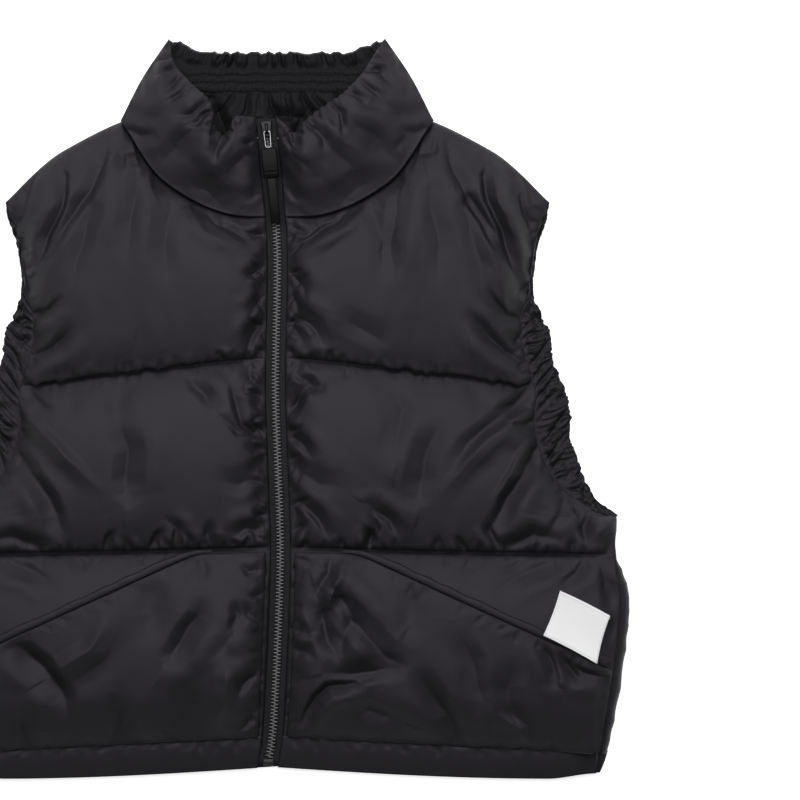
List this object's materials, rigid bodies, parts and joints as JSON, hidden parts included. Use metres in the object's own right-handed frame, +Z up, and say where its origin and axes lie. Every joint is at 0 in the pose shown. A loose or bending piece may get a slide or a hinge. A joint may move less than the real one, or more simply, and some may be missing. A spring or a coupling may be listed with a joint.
{
  "type": "puffer vest",
  "caption": "Black quilted puffer vest, zipped up and laid flat, with a padded stand collar, gathered armholes, slanted patch pockets and a blank white label.",
  "frame": {"origin": "centre of the laid-out vest's bounding box, on the flat surface that its back lies on", "axes": "+X to the wearer's left, +Y from hem to collar, +Z up out of the front"},
  "size_m": [0.6606, 0.6899, 0.0538],
  "materials": {
    "shell": "soft sheen nylon taffeta",
    "lining": "soft sheen nylon taffeta",
    "tape": "matt woven tape",
    "zip_teeth": "satin moulded teeth",
    "zip_metal": "black nickel",
    "pull_moulding": "glossy black moulding",
    "label": "matt woven label, blank"
  },
  "bodies": {
    "vest": {"front_left": "shell", "front_right": "shell", "pocket_left": "shell", "pocket_right": "shell", "welt_left": "shell", "welt_right": "shell", "back_panel": "shell", "hem_back": "shell", "hem_front_left": "shell", "hem_front_right": "shell", "armhole_front_left": "shell", "armhole_back_left": "shell", "armhole_front_right": "shell", "armhole_back_right": "shell", "collar_front_left": "shell", "collar_front_right": "shell", "collar_back": "lining", "neck_elastic": "lining", "zip_tape_left": "tape", "zip_tape_right": "tape", "zip_chain": "zip_teeth", "zip_box": "zip_teeth", "zip_slider": "zip_metal", "slider_bridge": "zip_metal", "pocket_label": "label"},
    "pull": {"pull_link": "zip_metal", "pull_grip": "pull_moulding", "pull_strap": "pull_moulding"}
  },
  "joints": [
    {"name": "pull_hinge", "type": "hinge", "parent": "vest", "child": "pull", "pos_m": [-0.00909, 0.25741, 0.03659], "axis": [-0.9953, -0.0965, 0], "range_deg": [0, 160]}
  ]
}
